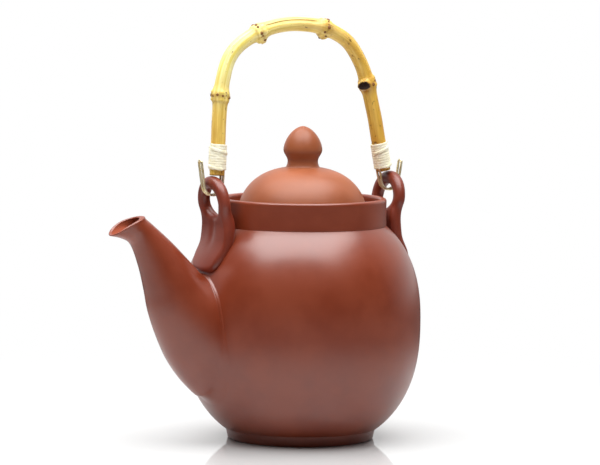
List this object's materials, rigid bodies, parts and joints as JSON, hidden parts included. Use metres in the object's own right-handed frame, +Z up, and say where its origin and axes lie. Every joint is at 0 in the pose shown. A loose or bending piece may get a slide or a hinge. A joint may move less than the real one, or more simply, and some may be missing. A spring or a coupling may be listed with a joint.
{
  "type": "teapot",
  "caption": "Round clay teapot with a curved side spout, a domed lift-off lid with a knob, and a bamboo bail handle hooked into two lug rings.",
  "frame": {"origin": "centre of the foot ring, on the table", "axes": "+Z up along the pot's axis, -X towards the spout, and the bail's swing axis along X, so +Y is to the right of someone who looks along the spout from behind the pot"},
  "size_m": [0.1927, 0.1376, 0.2427],
  "materials": {
    "pot_clay": "unglazed, burnished, satin",
    "lid_clay": "unglazed, burnished, satin",
    "bamboo": "natural, satin",
    "hook_wire": "pale, polished",
    "rattan": "split cane, matte"
  },
  "bodies": {
    "pot": {"body_shell": "pot_clay", "foot_ring": "pot_clay", "neck_collar": "pot_clay", "spout": "pot_clay", "spout_strainer": "pot_clay", "front_lug": "pot_clay", "rear_lug": "pot_clay"},
    "lid": {"lid_dome": "lid_clay", "lid_locating_ring": "lid_clay", "lid_knob": "lid_clay"},
    "bail": {"bamboo_bail": "bamboo", "front_hook": "hook_wire", "rear_hook": "hook_wire", "front_binding": "rattan", "rear_binding": "rattan"}
  },
  "joints": [
    {"name": "lid_lift", "type": "slide", "parent": "pot", "child": "lid", "axis": [0, 0, 1], "range_m": [0, 0.045]},
    {"name": "bail_swing", "type": "hinge", "parent": "pot", "child": "bail", "pos_m": [0, 0, 0.1371], "axis": [1, 0, 0], "range_deg": [-90, 90]}
  ]
}
